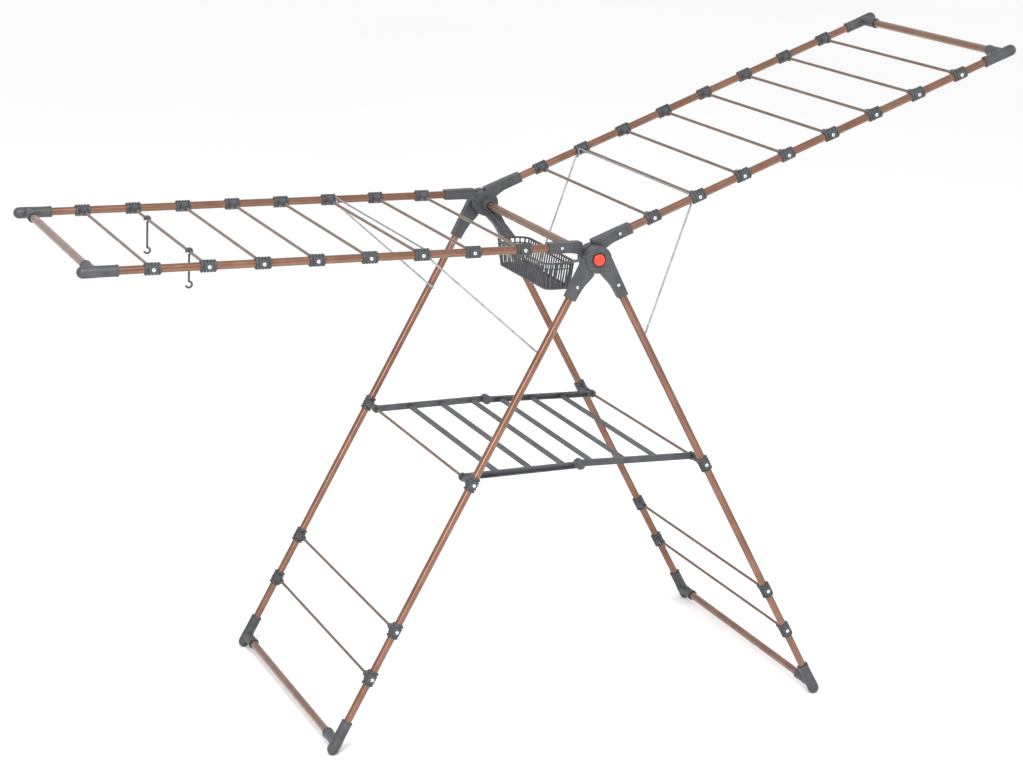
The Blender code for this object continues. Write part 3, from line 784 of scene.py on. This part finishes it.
def hook_runs():
    bowl_center = Vector((0, 0, HOOK_R + HOOK_BOWL - HOOK_DROP))
    shank = [Vector((0, 0, -HOOK_EYE)), bowl_center + Vector((0, 0, HOOK_BOWL))]
    eye = arc(Vector((0, 0, 0)), HOOK_EYE, -100, 200, 32)
    bowl = arc(bowl_center, HOOK_BOWL, 100, -165, 28)
    runs = [shank, eye, bowl]
    pairs = [(a, b) for run in runs for a, b in zip(run, run[1:])]
    middle = sum(((a + b) / 2 * (b - a).length for a, b in pairs), Vector((0, 0, 0)))
    turn = Matrix.Rotation(math.atan2(middle.x, -middle.z), 3, "Y")
    return [[turn @ point for point in run] for run in runs]


for near, y in (("near", -0.1405), ("far", 0.1536)):
    center = MEMBERS["left_wing"].at(RUNG_STARTS + 6 * RUNG_STEP, y)
    mesh = bmesh.new()
    for run in hook_runs():
        wire(mesh, [center + p for p in run], HOOK_R, 20)
    node = f"hanger_hook_{near}"
    finish(mesh, f"vis_{node}", anthracite, f"hook_{near}", [node])
print("hooks made: 2")

# %% [markdown]
# ## Folding shelf
# Two halves meet at a middle pivot and turn on the legs' rods. Each half has a channel-section rail on
# either side and three slats. A groove along each rail's face makes the channel, and rings mark the
# pivots.

# %% Folding shelf
RAIL_SPLIT = 0.235
RAIL_HALF = 0.0055
SLATS_AT = (0.067, 0.130, 0.193)


def shelf_half(node, word, body, side):
    member = MEMBERS[word]
    rod_point = member.at(SHELF_ROD_AT, 0)
    middle = Vector((HUB.x, 0, rod_point.z + 0.004))
    along = (middle - rod_point).normalized()
    up = Vector((-along.z, 0, along.x)) * -side
    length = (middle - rod_point).length
    if side < 0:
        low_y, high_y = RAIL_SPLIT + 0.0005, RAIL_SPLIT + 0.008
    else:
        low_y, high_y = RAIL_SPLIT - 0.008, RAIL_SPLIT - 0.0005

    def strip(start, end, half, lift=0.0):
        pairs = ((start, -half), (end, -half), (end, half), (start, half))
        return [rod_point + along * s + up * (n + lift) for s, n in pairs]

    mesh = bmesh.new()
    slab(mesh, strip(SLATS_AT[1] - 0.001, SLATS_AT[1] + 0.001, 0.001), -low_y, low_y)
    made = finish(mesh, "vis_" + node, anthracite, body, [node])
    for _, y_side in SIDES:
        face = y_side * (high_y if side < 0 else low_y)
        depth = -y_side * 0.0045 if side < 0 else y_side * 0.0045
        rail = bmesh.new()
        slab(rail, strip(-0.002, length, RAIL_HALF), y_side * low_y, y_side * high_y)
        combine(made, cutter(rail, "rail"), "UNION")
        trough = bmesh.new()
        slab(trough, strip(0.012, length - 0.013, RAIL_HALF - 0.0022), face - depth * 0.3, face + depth)
        combine(made, cutter(trough, "trough"), "DIFFERENCE")
        for point, radius in ((rod_point, 0.0075), (middle, 0.009)):
            knob = bmesh.new()
            start = Vector((point.x, y_side * low_y, point.z))
            turned(knob, start, UP_Y * y_side, [(0.0, radius), (high_y - low_y, radius)], 40)
            combine(made, cutter(knob, "knob"), "UNION")
        hole = bmesh.new()
        start = Vector((rod_point.x, y_side * (low_y - 0.01), rod_point.z))
        turned(hole, start, UP_Y * y_side, [(0.0, RUNG_R + 0.00015), (0.03, RUNG_R + 0.00015)], 32)
        combine(made, cutter(hole, "hole"), "DIFFERENCE")
    for at in SLATS_AT:
        slat = bmesh.new()
        slab(slat, strip(at - 0.005, at + 0.005, 0.002), -low_y - 0.003, low_y + 0.003)
        combine(made, cutter(slat, "slat"), "UNION")
    for face in made.data.polygons:
        face.use_smooth = True
    made.data.set_sharp_from_angle(angle=math.radians(30))
    round_edges(made, 0.0005)
    return middle, low_y, high_y


middle, low_y, high_y = shelf_half("shelf_left_half", "left_leg", "shelf_left", -1)
shelf_half("shelf_right_half", "right_leg", "shelf_right", 1)
for near, y_side in SIDES:
    mesh = bmesh.new()
    start = Vector((middle.x, y_side * high_y, middle.z))
    rise = [(-0.001, 0.0066), (0.0006, 0.0066), (0.0009, 0.0062), (0.0004, 0.0052), (0.0004, 0.0036),
            (0.0010, 0.0033), (0.0010, 0.0008)]
    turned(mesh, start, UP_Y * y_side, rise, 40)
    finish(mesh, f"vis_shelf_knob_{near}", anthracite, "shelf_left", ())
print("shelf halves made: 2")

# %% [markdown]
# ## Peg basket
# A slim basket hangs under the central tube. It is an open cage: a double rim, thin upright ribs all the
# way round and a floor of crossed bars. Each rib follows the taper between two rounded outlines, so the
# ribs are placed by walking along those outlines at an even pitch.

# %% Peg basket
BASKET_HALF_LONG = 0.125
BASKET_HALF_WIDE = 0.033
RIM_Z = HUB.z - 0.039
BASKET_DEEP = 0.050
TAPER = 0.007


def oval(inset, corner, z, steps=8):
    points = []
    half_w, half_l = BASKET_HALF_WIDE - inset, BASKET_HALF_LONG - inset
    for quarter, (sx, sy) in enumerate(((1, 1), (-1, 1), (-1, -1), (1, -1))):
        center = Vector((HUB.x + sx * (half_w - corner), sy * (half_l - corner), z))
        for step in range(steps + 1):
            turn = math.pi / 2 * (quarter + step / steps)
            points.append(center + Vector((math.cos(turn), math.sin(turn), 0)) * corner)
    return points


def oval_at(drop, inset=0.0):
    """The basket's outline that far below its rim."""
    share = drop / BASKET_DEEP
    return oval(TAPER * share + inset, 0.022 - 0.008 * share - inset, RIM_Z - drop)


def band(mesh, drop_low, drop_high, thick):
    rows = [oval_at(drop_high), oval_at(drop_low), oval_at(drop_low, thick), oval_at(drop_high, thick)]
    loft(mesh, rows, closed=True)


def walk(points, count):
    """count evenly spaced (point, index share) places round a closed outline, as indices into it."""
    ends = points[1:] + points[:1]
    lengths = [(b - a).length for a, b in zip(points, ends)]
    total = sum(lengths)
    places = []
    for k in range(count):
        want = total * (k + 0.5) / count
        i = 0
        while want > lengths[i]:
            want -= lengths[i]
            i += 1
        places.append((i, want / lengths[i]))
    return places


def on_outline(points, place):
    i, share = place
    return points[i].lerp(points[(i + 1) % len(points)], share)


def upright(mesh, place, width, thick):
    """A flat rib from under the rim to the floor, on the outline there."""
    rows = []
    for drop in (0.003, BASKET_DEEP - 0.001):
        outside, inside = oval_at(drop), oval_at(drop, thick)
        p, q = on_outline(outside, place), on_outline(inside, place)
        ahead = on_outline(outside, (place[0], min(place[1] + 0.01, 1.0)))
        back = on_outline(outside, (place[0], max(place[1] - 0.01, 0.0)))
        along = (ahead - back).normalized() * width / 2
        rows.append([p - along, p + along, q + along, q - along])
    loft(mesh, rows)


mesh = bmesh.new()
band(mesh, 0.0032, 0.0, 0.0026)
band(mesh, 0.0125, 0.0105, 0.0020)
band(mesh, BASKET_DEEP, BASKET_DEEP - 0.003, 0.0026)
RIBS = 56
for place in walk(oval_at(0.0), RIBS):
    upright(mesh, place, 0.0027, 0.0020)
floor_z = RIM_Z - BASKET_DEEP + 0.0011
half_w, half_l = BASKET_HALF_WIDE - TAPER - 0.001, BASKET_HALF_LONG - TAPER - 0.001
FLOOR_BARS = 26
for i in range(FLOOR_BARS):
    y = half_l * (2 * (i + 0.5) / FLOOR_BARS - 1)
    past = max(0.0, abs(y) - (half_l - 0.014))
    reach = half_w - 0.014 + math.sqrt(max(0.014 ** 2 - past ** 2, 0.0))
    start = Vector((HUB.x - reach, y, floor_z))
    turned(mesh, start, Vector((1, 0, 0)), [(0.0, 0.0011), (2 * reach, 0.0011)], 10)
for i in range(5):
    x = half_w * (2 * (i + 0.5) / 5 - 1)
    reach = half_l - (0.0035 if abs(x) < 0.012 else 0.008)
    start = Vector((HUB.x + x, -reach, floor_z - 0.0003))
    turned(mesh, start, UP_Y, [(0.0, 0.0012), (2 * reach, 0.0012)], 10)
finish(mesh, "vis_basket", anthracite, "right_leg_frame", ["basket"])
print("basket ribs:", RIBS, "floor bars:", FLOOR_BARS + 5)

# %% [markdown]
# ## Basket hangers
# At each end a saddle clips round the central tube, and one wide and one narrow strap slope from it to
# the rim.

# %% Basket hangers
for near, side in SIDES:
    first, second = across(UP_Y)
    saddle = [(0.0, 0.0111), (0.0005, 0.0116), (0.0145, 0.0116), (0.0150, 0.0111)]
    start = HUB + UP_Y * side * 0.232
    mesh = bmesh.new()
    outer = [ring(start + UP_Y * side * d, first, second, r, 48) for d, r in saddle]
    inner = [ring(start + UP_Y * side * d, first, second, TUBE_R + 0.0003, 48) for d in (0.0150, 0.0)]
    loft(mesh, outer + inner, closed=True)
    for x_low, x_high in ((-0.0105, -0.0045), (0.000, 0.0105)):
        rows = []
        for x in (x_low, x_high):
            top = Vector((HUB.x + x, side * 0.240, HUB.z - 0.0085))
            end = Vector((HUB.x + x, side * (BASKET_HALF_LONG - 0.0015), RIM_Z - 0.002))
            lift = Vector((0, 0, 0.0014))
            rows.append([top + lift, top - lift, end - lift, end + lift])
        loft(mesh, rows)
    finish(
        mesh, f"vis_basket_hanger_{near}", anthracite, "right_leg_frame", (),
        bevel=0.0004,
    )
print("basket hangers made: 2")

# %% [markdown]
# ## Floor and light
# The airer stands on a plain pale floor, lit like a product table: an even bright surround, a large soft
# light high at the front left for the long highlights on the tubes, and a weaker one on the right.

# %% Floor and light
floor_mesh = bmesh.new()
bmesh.ops.create_grid(floor_mesh, x_segments=1, y_segments=1, size=60)
floor_data = bpy.data.meshes.new("pale_floor")
floor_mesh.to_mesh(floor_data)
floor_mesh.free()
floor = bpy.data.objects.new("pale_floor", floor_data)
bpy.context.scene.collection.objects.link(floor)
pale, tree, shader = new_material("pale_studio_floor", {"Roughness": 0.9})
tint(tree, shader, add_node(tree, "ShaderNodeTexCoord").outputs["Object"], "#FBFBFB", "#FDFDFD", 0.5)
floor.data.materials.append(pale)

world = bpy.data.worlds.new("bright_surround")
world.use_nodes = True
sky = world.node_tree.nodes["Background"]
sky.inputs["Color"].default_value = linear("#FFFFFF")
sky.inputs["Strength"].default_value = 0.97
bpy.context.scene.world = world


def soft_light(name, place, target, size, power):
    data = bpy.data.lights.new(name, "AREA")
    data.shape = "DISK"
    data.size = size
    data.energy = power
    made = bpy.data.objects.new(name, data)
    made.location = place
    made.rotation_euler = (Vector(target) - Vector(place)).to_track_quat("-Z", "Y").to_euler()
    bpy.context.scene.collection.objects.link(made)


soft_light("key_light", (-1.2, -2.4, 3.4), (0, 0, 0.6), 0.9, 110)
soft_light("front_light", (-2.6, -3.6, 1.5), (0, 0, 0.7), 1.2, 45)
soft_light("fill_light", (2.6, -1.8, 2.2), (0, 0, 0.7), 1.6, 25)
print("lights: 3 and a bright surround")

# %% [markdown]
# ## Camera
# A long lens stands a little above the wings, to the left of the near side. It is turned and tilted by
# three angles and shifted slightly sideways, which frames the airer without changing its perspective.

# %% Camera
YAW, PITCH, ROLL = 0.4110, 0.2490, 0.0327
ahead = Vector((math.sin(YAW) * math.cos(PITCH), math.cos(YAW) * math.cos(PITCH), -math.sin(PITCH)))
level = Vector((math.cos(YAW), -math.sin(YAW), 0))
upward = level.cross(ahead)
right = level * math.cos(ROLL) + upward * math.sin(ROLL)
top = upward * math.cos(ROLL) - level * math.sin(ROLL)
lens = bpy.data.cameras.new("camera")
lens.sensor_width = 36
lens.lens = 90.98
lens.shift_x = -0.0846
lens.clip_end = 200
camera = bpy.data.objects.new("camera", lens)
camera.matrix_world = Matrix.Translation((-1.7016, -4.2889, 1.7441)) @ Matrix(
    (right, top, -ahead)
).transposed().to_4x4()
bpy.context.scene.collection.objects.link(camera)
bpy.context.scene.camera = camera
bpy.context.scene.view_settings.view_transform = "Standard"
print("camera stands", round((camera.location - HUB).length, 2), "m from the hub")
